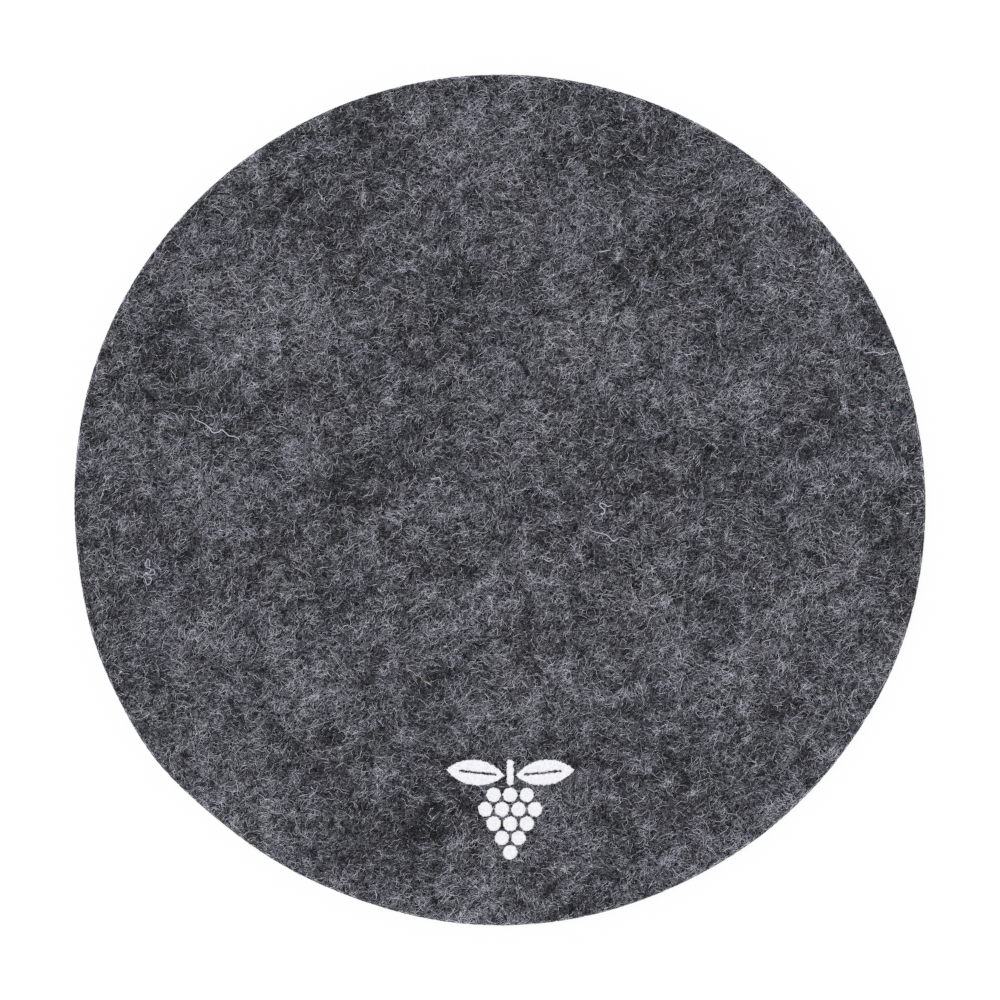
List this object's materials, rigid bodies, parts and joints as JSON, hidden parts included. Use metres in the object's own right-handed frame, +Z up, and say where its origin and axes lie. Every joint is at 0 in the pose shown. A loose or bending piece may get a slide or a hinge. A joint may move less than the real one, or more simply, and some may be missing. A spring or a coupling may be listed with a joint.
{
  "type": "wine bottle coaster",
  "caption": "Flat round felt coaster that a wine bottle stands on, with a small white print near its front edge.",
  "frame": {"origin": "middle of the round face that rests on the table", "axes": "+Z up through the felt, the disc's axis; the print lies towards -Y and reads upright with +X to the right"},
  "size_m": [0.1, 0.1, 0.003],
  "materials": {
    "felt": "matte",
    "ink": "matte"
  },
  "bodies": {
    "root": {"felt_disc": "felt", "printed_grapes": "ink", "printed_left_leaf": "ink", "printed_right_leaf": "ink", "printed_stem": "ink"}
  },
  "joints": []
}
